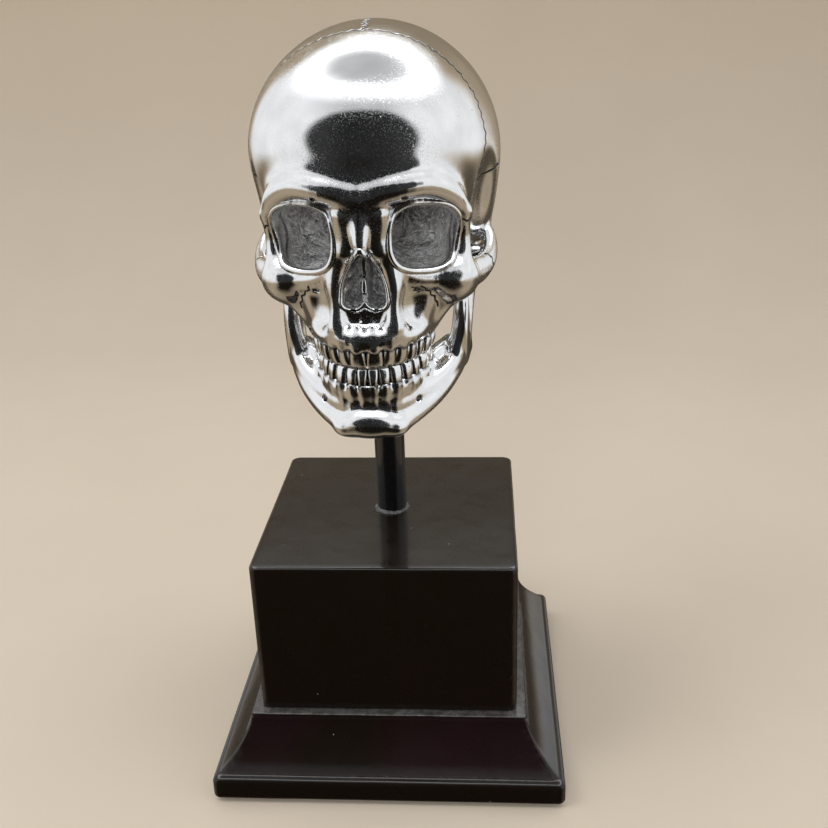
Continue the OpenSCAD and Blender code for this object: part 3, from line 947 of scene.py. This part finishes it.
def lacquer_look():
    """Deep black brushed lacquer with a plum tint, a wavy gloss and settled dust."""
    look = Look("black_lacquer", {"Coat Weight": 1.0, "Coat Roughness": 0.04, "Coat IOR": 1.36,
                                  "Specular IOR Level": 0.08})
    dusty = look.attribute("dust")
    plum = look.times(look.levels(look.noise(16, 2), 0.42, 0.65), look.attribute("thick"))
    tint = look.blend(plum, (0.0066, 0.0042, 0.0026, 1), (0.0108, 0.0040, 0.0054, 1))
    cell = look.cells(330)
    picks = look.picks(cell)
    size = look.levels(picks[1], 0.0, 1.0, 0.025, 0.13)
    speck = look.levels(look.maths("DIVIDE", cell.outputs["Distance"], size), 1.0, 0.6)
    chosen = look.maths("GREATER_THAN", picks[0], look.less(0.968, look.times(dusty, 0.12)))
    specks = look.times(speck, chosen)
    film = look.levels(look.noise(48, 6), 0.45, 0.75, 0.0, 0.005)
    film = look.times(film, look.plus(0.15, look.upward()))
    settled = look.levels(look.noise(260, 5), 0.35, 0.7, 0.1, 0.4)
    film = look.plus(film, look.times(dusty, settled))
    grit = look.levels(look.noise(2600, 3), 0.56, 0.72, 0.0, 3.0)
    film = look.plus(film, look.times(grit, film))
    scuffs = look.levels(look.noise(420, 5), 0.5, 0.68, 0.0, 0.03)
    rubbed = look.times(look.attribute("edge"), scuffs)
    dust = look.maths("MINIMUM", look.plus(look.most(specks, film), rubbed), 1.0)
    look.give("Base Color", look.blend(dust, tint, (0.33, 0.32, 0.30, 1)))
    look.give("Roughness", look.levels(look.plus(look.noise(120, 4), dust), 0.3, 1.2, 0.22, 0.6))
    swell = look.bump(look.noise(75, 2), 0.00009)
    ripple = look.noise(1100, 2)
    brushed = look.bump(look.noise(1.0, 3, vector=look.stretched(30, 30, 420)), 0.00002, swell)
    look.give("Normal", look.bump(specks, 0.00015, look.bump(ripple, 0.000008, brushed)))
    look.give("Coat Normal", look.bump(ripple, 0.000006, swell))
    return look.material


def enamel_look():
    """Glossy black paint on the post, with faint runs down its length."""
    look = Look("black_enamel", {"Coat Weight": 1.0, "Coat Roughness": 0.03, "Coat IOR": 1.5})
    runs = look.noise(1.0, 3, vector=look.stretched(420, 420, 45))
    dust = look.levels(look.noise(1500, 4), 0.62, 0.75, 0.0, 0.25)
    look.give("Base Color", look.blend(dust, (0.004, 0.0038, 0.004, 1), (0.12, 0.115, 0.11, 1)))
    look.give("Roughness", look.levels(runs, 0.3, 0.7, 0.16, 0.34))
    look.give("Normal", look.bump(look.noise(1200, 2), 0.00001, look.bump(runs, 0.00005)))
    return look.material


def sealant_look():
    """Cured grey-black sealant: matt, pocked and paler where it is thin."""
    look = Look("grey_sealant", {})
    mottled = look.noise(650, 5)
    look.give("Base Color", look.blend(look.levels(mottled, 0.35, 0.68), (0.012, 0.012, 0.012, 1),
                                       (0.15, 0.148, 0.142, 1)))
    look.give("Roughness", look.levels(mottled, 0.3, 0.7, 0.35, 0.75))
    look.give("Normal", look.bump(look.noise(1400, 4), 0.00018))
    return look.material


def steel_look():
    """Bright zinc plating with fine turning marks."""
    look = Look("plated_steel", {"Metallic": 1.0})
    marks = look.noise(1.0, 4, vector=look.stretched(350, 350, 3200))
    bloom = look.levels(look.noise(260, 4), 0.4, 0.7)
    look.give("Base Color", look.blend(bloom, (0.66, 0.65, 0.62, 1), (0.50, 0.50, 0.49, 1)))
    look.give("Roughness", look.levels(look.plus(marks, bloom), 0.5, 1.5, 0.2, 0.42))
    look.give("Normal", look.bump(marks, 0.00003))
    return look.material


def nylon_look():
    look = Look("white_nylon", {"Subsurface Weight": 0.15, "Subsurface Radius": (0.001, 0.001, 0.0008)})
    cloud = look.noise(500, 4)
    look.give("Base Color", look.blend(cloud, (0.84, 0.82, 0.75, 1), (0.76, 0.74, 0.67, 1)))
    look.give("Roughness", look.levels(cloud, 0.3, 0.7, 0.35, 0.5))
    look.give("Normal", look.bump(look.noise(2200, 3), 0.00002))
    return look.material


def beech_look():
    """Pale beech with its grain along the dowels and short dark flecks."""
    look = Look("beech", {})
    grain = look.noise(1.0, 5, 0.6, look.stretched(520, 520, 60))
    flecks = look.levels(look.noise(1.0, 2, 0.0, look.stretched(2600, 2600, 420)), 0.66, 0.74)
    wood = look.blend(look.levels(grain, 0.35, 0.65), (0.62, 0.42, 0.25, 1), (0.47, 0.29, 0.15, 1))
    look.give("Base Color", look.blend(flecks, wood, (0.30, 0.17, 0.08, 1)))
    look.give("Roughness", look.levels(grain, 0.3, 0.7, 0.5, 0.7))
    look.give("Normal", look.bump(grain, 0.00008))
    return look.material


def felt_look():
    """Black felt: matted fibres that stand up a little."""
    look = Look("black_felt", {"Sheen Weight": 0.4, "Sheen Roughness": 0.5})
    fibres = look.noise(2400, 6, 1.5)
    clumps = look.noise(420, 3)
    shade = look.times(fibres, clumps)
    look.give("Base Color", look.blend(look.levels(shade, 0.15, 0.4), (0.006, 0.006, 0.007, 1),
                                       (0.045, 0.043, 0.045, 1)))
    look.give("Roughness", look.levels(clumps, 0.3, 0.7, 0.85, 1.0))
    look.give("Normal", look.bump(fibres, 0.0004))
    return look.material


CHROME = chrome_look()
LACQUER = lacquer_look()


def fit_piece(piece, look, body, slot, *nodes):
    """Give a new piece its material and body, and hide the CAD nodes that it stands for."""
    piece.data.materials.append(look)
    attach(piece, body)
    if nodes:
        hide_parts(*nodes)


for piece, *nodes in ((skull_object, "cranium"), (jaw_object, "mandible"), (upper_row,), (lower_row,)):
    fit_piece(piece, CHROME, "skull", "mirror_chrome", *nodes)

# ---- Plinth ----

HALF_FELT, _, FELT_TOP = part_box("felt_pad")[1] / MM
HALF_BASE, _, BASE_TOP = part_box("plinth_base")[1] / MM
HALF_BLOCK, _, BLOCK_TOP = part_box("plinth_block")[1] / MM
POST_RADIUS, _, POST_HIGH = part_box("post_tube")[1] / MM
POST_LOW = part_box("post_tube")[0].z / MM
BRUSH_WAVE = 0.07
STRAIGHT_CUTS = 38
CORNER_CUTS = 7


def square_ring(half, height, corner):
    """A level outline: a square with round corners, in mm."""
    corner = min(corner, half * 0.9)
    middle = half - corner
    points = []
    for quarter in range(4):
        turn = math.radians(90 * quarter)
        c, s = math.cos(turn), math.sin(turn)
        for i in range(CORNER_CUTS + 1):
            a = math.radians(90 * i / CORNER_CUTS)
            x, y = middle + corner * math.cos(a), middle + corner * math.sin(a)
            points.append((x * c - y * s, x * s + y * c, height))
        for i in range(1, STRAIGHT_CUTS):
            x, y = middle - 2 * middle * i / STRAIGHT_CUTS, half
            points.append((x * c - y * s, x * s + y * c, height))
    return points


def wall(count, lower, upper):
    """Faces between two rings of equally many points."""
    return [(lower * count + i, lower * count + (i + 1) % count,
             upper * count + (i + 1) % count, upper * count + i) for i in range(count)]


def stacked(rings):
    """Points and faces of a closed form from level outlines that have equally many points."""
    count = len(rings[0])
    faces = [face for r in range(len(rings) - 1) for face in wall(count, r, r + 1)]
    faces.append(tuple(reversed(range(count))))
    faces.append(tuple((len(rings) - 1) * count + i for i in range(count)))
    return np.vstack(rings), faces


def spread(start, end, step):
    """Even steps between two numbers, both left out."""
    count = max(2, round(abs(end - start) / step))
    return [start + (end - start) * i / count for i in range(1, count)]


def rounded_step(centre_half, centre_height, radius, start, end, cuts=5):
    """(half width, height) along an arc, by angle above the horizontal."""
    angles = [math.radians(start + (end - start) * i / cuts) for i in range(cuts + 1)]
    return [(centre_half + radius * math.cos(a), centre_height + radius * math.sin(a)) for a in angles]


def lacquered(name, outline, corner_at, edges):
    """A lacquered form from its outline, with a brushed coat's slight waves. Its masks, from 0 to 1,
    are the worn edges, the dust that lies on it and how thick the coat has run."""
    points, faces = stacked([square_ring(half, height, corner_at(height)) for half, height in outline])
    shift = np.column_stack([lumps(points + 31 * axis, 15) for axis in range(3)])
    away = np.abs(points[:, :2])
    wide, high = away.max(1), points[:, 2]
    shift[wide < HALF_BLOCK * 0.2] = 0
    piece = mesh_object(name, (points + BRUSH_WAVE * shift) * MM, faces)
    wear = (away.min(1) / np.maximum(wide, 1) - 0.93) * 16 * (wide > HALF_BLOCK * 0.9)
    for half, height in edges:
        wear = np.maximum(wear, 1 - np.hypot(wide - half, high - height) / 0.8)
    store(piece.data, "edge", wear)
    strip = (np.abs(high - BASE_TOP) < 0.2) & (wide > HALF_BLOCK - 1)
    ledge = np.clip(1 - np.hypot(wide - COVE_OUT, high - COVE_LOW) / 1.2, 0, 1)
    store(piece.data, "dust", np.maximum(strip * 0.55, ledge * 0.12))
    cove = (high < BASE_TOP - 1) & (wide < COVE_OUT + 0.5)
    store(piece.data, "thick", np.where(cove, 1.0, 0.2))
    return piece


def block_outline():
    """Half widths and heights of the block, from its underside up and over."""
    soft, low_soft = 1.3, 0.4
    rows = [(half, BASE_TOP) for half in (5, 20, 35, HALF_BLOCK - low_soft - 1.5)]
    rows += rounded_step(HALF_BLOCK - low_soft, BASE_TOP + low_soft, low_soft, -90, 0, 3)
    rows += [(HALF_BLOCK, z) for z in spread(BASE_TOP + low_soft, BLOCK_TOP - soft, 2.6)]
    rows += rounded_step(HALF_BLOCK - soft, BLOCK_TOP - soft, soft, 0, 90, 6)
    rows += [(half, BLOCK_TOP) for half in spread(HALF_BLOCK - soft, 4, 2.4)]
    return rows


COVE_LOW = FELT_TOP + 9.8
COVE_HIGH = BASE_TOP - 1.6
COVE_OUT = HALF_BASE - 2.6
COVE_IN = HALF_BLOCK + 3.7
COVE_BEND = 1.25
FILLET_OUT = HALF_BLOCK + 3.4
FOOT_ROUND = 2.4
FOOT_BEVEL = 1.5


def base_outline():
    """The moulded board: a round-topped foot, a small ledge, a hollow that starts steep at the top
    and ends as a slope, and a thin fillet."""
    foot_top = COVE_LOW - 0.3
    rows = [(half, FELT_TOP) for half in (5, 20, 40, 55, HALF_BASE - 3)]
    rows += rounded_step(HALF_BASE - FOOT_BEVEL, FELT_TOP + FOOT_BEVEL, FOOT_BEVEL, -90, 0)
    rows += [(HALF_BASE, z) for z in spread(FELT_TOP + FOOT_BEVEL, foot_top - FOOT_ROUND, 1.5)]
    rows += rounded_step(HALF_BASE - FOOT_ROUND, foot_top - FOOT_ROUND, FOOT_ROUND, 0, 78, 9)
    rows.append((COVE_OUT + 0.05, COVE_LOW - 0.1))
    for a in np.radians(range(85, -1, -5)):
        rows.append((COVE_OUT - (COVE_OUT - COVE_IN) * math.cos(a) ** 2,
                     COVE_HIGH - (COVE_HIGH - COVE_LOW) * math.sin(a) ** COVE_BEND))
    rows.append((COVE_IN - 0.3, COVE_HIGH + 0.15))
    rows += rounded_step(FILLET_OUT - 0.6, BASE_TOP - 0.6, 0.6, 0, 90, 4)
    rows += [(half, BASE_TOP) for half in (52.6, HALF_BLOCK, 47, 35, 20, 5)]
    return rows


def base_corner(height):
    """Plan radius of the board's corners: a soft foot, and a crisper mitre above it."""
    share = min(max((height - FELT_TOP - 9) / 4, 0), 1)
    return 2.6 - 1.6 * share


block_piece = lacquered("lacquered_block", block_outline(), lambda height: 3.4,
                        [(HALF_BLOCK, BLOCK_TOP), (HALF_BLOCK, BASE_TOP)])
base_piece = lacquered("moulded_base", base_outline(), base_corner,
                       [(FILLET_OUT, BASE_TOP), (HALF_BASE, FELT_TOP)])
fit_piece(block_piece, LACQUER, "stand", "black_lacquer", "plinth_block")
fit_piece(base_piece, LACQUER, "stand", "black_lacquer", "plinth_base")


def lathe(name, outline, segments, shift):
    """A form turned about the post's axis, from (radius, height) rows in mm. shift moves its points."""
    turns = [2 * math.pi * i / segments for i in range(segments)]
    points = np.array([(radius * math.cos(a), radius * math.sin(a), height)
                       for radius, height in outline for a in turns])
    count = len(outline)
    faces = [face for r in range(count) for face in wall(segments, r, (r + 1) % count)]
    return mesh_object(name, (points + shift(points)) * MM, faces)


def make_post():
    """The painted tube, with the slight waves of a brushed coat on its outside."""
    bore = POST_RADIUS - 1.8
    soft = 0.5
    rows = [(bore, POST_LOW + soft), (bore + soft, POST_LOW), (POST_RADIUS - soft, POST_LOW)]
    rows += [(POST_RADIUS, z) for z in spread(POST_LOW, POST_HIGH - soft, 1.5)]
    rows += [(POST_RADIUS - soft + soft * math.cos(a), POST_HIGH - soft + soft * math.sin(a))
             for a in (0, math.pi / 6, math.pi / 3, math.pi / 2)]
    rows += [(bore + soft, POST_HIGH), (bore, POST_HIGH - soft)]

    def brush(points):
        out = np.zeros_like(points)
        wave = 0.03 * lumps(points * (1, 1, 0.35), 6)
        radius = np.hypot(points[:, 0], points[:, 1])
        outside = radius > POST_RADIUS - 0.01
        out[:, :2] = points[:, :2] * (wave * outside / radius)[:, None]
        return out

    return lathe("enamelled_post", rows, 64, brush)


def make_bead():
    """The ragged ring of sealant round the foot of the post."""
    inner = POST_RADIUS - 0.3
    slump = ((0, -0.15), (1.3, -0.15), (1.2, 0.15), (0.95, 0.4), (0.7, 0.65), (0.5, 0.85), (0.32, 1.0),
             (0, 1.05))
    rows = [(inner + out, BLOCK_TOP + up) for out, up in slump]

    def ragged(points):
        out = np.zeros_like(points)
        radius = np.hypot(points[:, 0], points[:, 1])
        share = np.clip((radius - inner) / 1.2, 0, 1)
        swell = 0.55 * lumps(points, 2.6) + 0.22 * lumps(points, 0.9)
        out[:, :2] = points[:, :2] * (share * swell / radius)[:, None]
        high = np.clip((points[:, 2] - BLOCK_TOP) / 0.6, 0, 1)
        out[:, 2] = high * (0.4 * lumps(points + 9, 2.2) + 0.15 * lumps(points, 0.8))
        return out

    return lathe("sealant_ring", rows, 144, ragged)


def make_felt():
    """Felt under the board, with a soft edge that swells a little."""
    rows = [(half, 0.0) for half in (5, 25, 45, HALF_FELT - 1.5)]
    rows += [(HALF_FELT - 0.45, 0.12), (HALF_FELT - 0.05, 0.55), (HALF_FELT - 0.1, 1.05),
             (HALF_FELT - 0.5, FELT_TOP)]
    rows += [(half, FELT_TOP) for half in (HALF_FELT - 2, 45, 25, 5)]
    points, faces = stacked([square_ring(half, height, 3) for half, height in rows])
    edge = np.abs(points[:, :2]).max(1) > HALF_FELT - 1
    points[:, :2] *= (1 + edge * 0.0022 * lumps(points, 2.0))[:, None]
    return mesh_object("felt_sheet", points * MM, faces)


fit_piece(make_post(), enamel_look(), "stand", "black_enamel", "post_tube")
fit_piece(make_bead(), sealant_look(), "stand", "sealant", "post_foot_bead")
fit_piece(make_felt(), felt_look(), "stand", "black_felt", "felt_pad")

# ---- Parts that keep their CAD shape ----

CAD_LOOKS = {
    steel_look(): ("jaw_screws", "plate_screws", "skull_base_plate", "tie_rod", "base_screws",
                   "load_washer", "spring_washer", "clamp_nut"),
    nylon_look(): ("friction_washer",),
    beech_look(): ("glue_dowels",),
}
for look, names in CAD_LOOKS.items():
    for name in names:
        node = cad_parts[name]
        node.data.materials.clear()
        node.data.materials.append(look)

# ---- Camera ----

def make_camera():
    """A camera at the photograph's angle: 22 degrees down, a little from the right, slightly rolled."""
    data = bpy.data.cameras.new("camera")
    data.sensor_width = 36
    data.lens = 44.5
    camera = add_object("camera", data)
    pitch, yaw, roll = math.radians(22.03), math.radians(-4.19), math.radians(-1.91)
    forward = Vector((math.sin(yaw) * math.cos(pitch), math.cos(yaw) * math.cos(pitch), -math.sin(pitch)))
    right = Vector((math.cos(yaw), -math.sin(yaw), 0))
    up = right.cross(forward)
    right_rolled = math.cos(roll) * right + math.sin(roll) * up
    up_rolled = -math.sin(roll) * right + math.cos(roll) * up
    turn = Matrix((right_rolled, up_rolled, -forward)).transposed().to_4x4()
    camera.matrix_world = Matrix.Translation((0.0377, -0.3751, 0.2873)) @ turn
    bpy.context.scene.camera = camera


make_camera()

# ---- Studio ----

def make_floor():
    """A pale floor that sweeps up into a backdrop."""
    flat_back, sweep = 0.45, 0.35
    rows = [(-3.0, 0.0), (-1.0, 0.0), (0.0, 0.0), (flat_back, 0.0)]
    for a in np.radians(90 / 12 * np.arange(1, 13)):
        rows.append((flat_back + sweep * math.sin(a), sweep - sweep * math.cos(a)))
    rows.append((flat_back + sweep, 0.6))
    points = [(x, y, z) for y, z in rows for x in (-2.0, 2.0)]
    faces = [(2 * i, 2 * i + 1, 2 * i + 3, 2 * i + 2) for i in range(len(rows) - 1)]
    floor = mesh_object("floor", points, faces)
    look = Look("pale_paper", {"Specular IOR Level": 0.2})
    look.give("Base Color", look.blend(look.noise(9, 3), (0.56, 0.48, 0.385, 1), (0.60, 0.52, 0.42, 1)))
    look.give("Roughness", look.levels(look.noise(30, 3), 0.3, 0.7, 0.7, 0.85))
    floor.data.materials.append(look.material)
    floor.visible_glossy = False


def soft_light(name, place, size, power, aim=(0, 0, 0.17)):
    data = bpy.data.lights.new(name, "AREA")
    data.shape = "RECTANGLE"
    data.size, data.size_y = size
    data.energy = power
    light = add_object(name, data)
    light.location = place
    light.visible_glossy = False
    light.rotation_mode = "QUATERNION"
    light.rotation_quaternion = (Vector(place) - Vector(aim)).to_track_quat("Z", "Y")


def make_world():
    """A white tent with a ring lamp overhead, open and dark in front. What lights the scene is a
    softer version of what the mirror plating and the lacquer reflect."""
    world = bpy.data.worlds.new("studio")
    world.use_nodes = True
    sky = Nodes(world.node_tree, "Generated")
    direction = sky.add("ShaderNodeSeparateXYZ", {0: sky.place}).outputs
    x, y, z = direction[0], direction[1], direction[2]
    beside = sky.maths("ABSOLUTE", x)

    def smooth(value, low, high):
        return sky.levels(value, low, high, curve="SMOOTHSTEP")

    def between(value, low, full_low, full_high, high):
        return sky.times(smooth(value, low, full_low), smooth(value, high, full_high))

    def towards(aim):
        """The cosine of the angle to a direction."""
        inputs = {0: sky.place, 1: Vector(aim).normalized()}
        return sky.add("ShaderNodeVectorMath", inputs, operation="DOT_PRODUCT").outputs["Value"]

    # the light that falls on the scene
    open_front = smooth(towards((0.05, -0.82, 0.57)), 0.80, 0.735)
    lamp = between(towards((0.0, 0.1, 1.0)), 0.80, 0.87, 0.925, 0.965)
    sides = smooth(beside, 0.35, 0.75)
    light = sky.plus(sky.times(open_front, 0.55), sky.times(sides, 0.75), sky.times(lamp, 1.35))
    warm = sky.blend(smooth(z, 0.0, 0.14), (1.0, 0.88, 0.73, 1), (0.985, 0.99, 1.0, 1))
    falling = sky.add("ShaderNodeBackground", {"Color": warm, "Strength": light}).outputs[0]

    # what shines in the chrome and in the lacquer
    height = sky.plus(z, -0.12)
    squared = sky.plus(sky.times(x, x, 1 / 0.80 ** 2), sky.times(height, height, 1 / 0.60 ** 2))
    dark = sky.times(smooth(squared, 1.10, 0.86), smooth(y, -0.05, -0.25))
    down = smooth(z, -0.10, -0.34)
    near_floor = sky.times(smooth(z, 0.0, -0.1), smooth(y, -0.15, -0.6), smooth(beside, 0.8, 0.6))
    dark = sky.most(dark, near_floor)
    lamp_angle = towards((0.0, 0.22, 1.0))
    halo = between(lamp_angle, 0.62, 0.82, 0.88, 0.965)
    core = between(lamp_angle, 0.76, 0.81, 0.87, 0.905)
    tent = sky.levels(beside, 0.15, 0.7, 0.56, 0.90, curve="SMOOTHSTEP")
    cloud = sky.noise(2.2, 3)
    tent = sky.times(tent, sky.levels(cloud, 0.35, 0.65, 0.88, 1.06))
    behind = sky.times(smooth(y, 0.25, 0.6), smooth(z, 0.62, 0.40), smooth(beside, 0.62, 0.40))
    low_back = sky.times(smooth(y, 0.1, 0.5), smooth(z, -0.12, -0.3))
    behind = sky.most(behind, sky.times(low_back, 1.5))
    tent = sky.times(tent, sky.less(1.0, sky.times(behind, 0.50)))
    tent = sky.times(tent, sky.less(1.0, sky.times(down, 0.60)))
    shine = sky.times(tent, sky.less(1.0, sky.times(dark, 0.965)))
    shine = sky.plus(shine, sky.times(halo, 0.6), sky.times(core, 4.0))
    paper = sky.most(behind, down)
    shade = sky.blend(paper, (0.975, 0.99, 1.0, 1), (1.0, 0.81, 0.57, 1))
    seen = sky.add("ShaderNodeBackground", {"Color": shade, "Strength": shine}).outputs[0]

    # plain paper behind the object from every side
    plain = sky.add("ShaderNodeBackground", {"Color": (0.56, 0.48, 0.39, 1), "Strength": 1.0}).outputs[0]
    path = sky.add("ShaderNodeLightPath", {}).outputs
    mixed = sky.add("ShaderNodeMixShader", {0: path["Is Glossy Ray"], 1: falling, 2: seen}).outputs[0]
    mixed = sky.add("ShaderNodeMixShader", {0: path["Is Camera Ray"], 1: mixed, 2: plain}).outputs[0]
    sky.feed(world.node_tree.nodes["World Output"].inputs["Surface"], mixed)
    bpy.context.scene.world = world


make_floor()
make_world()
soft_light("high_left", (-0.7, -0.35, 1.1), (0.5, 0.5), 3)
soft_light("front", (-0.05, -1.0, 0.55), (0.5, 0.4), 5)
bpy.context.scene.view_settings.view_transform = "Standard"
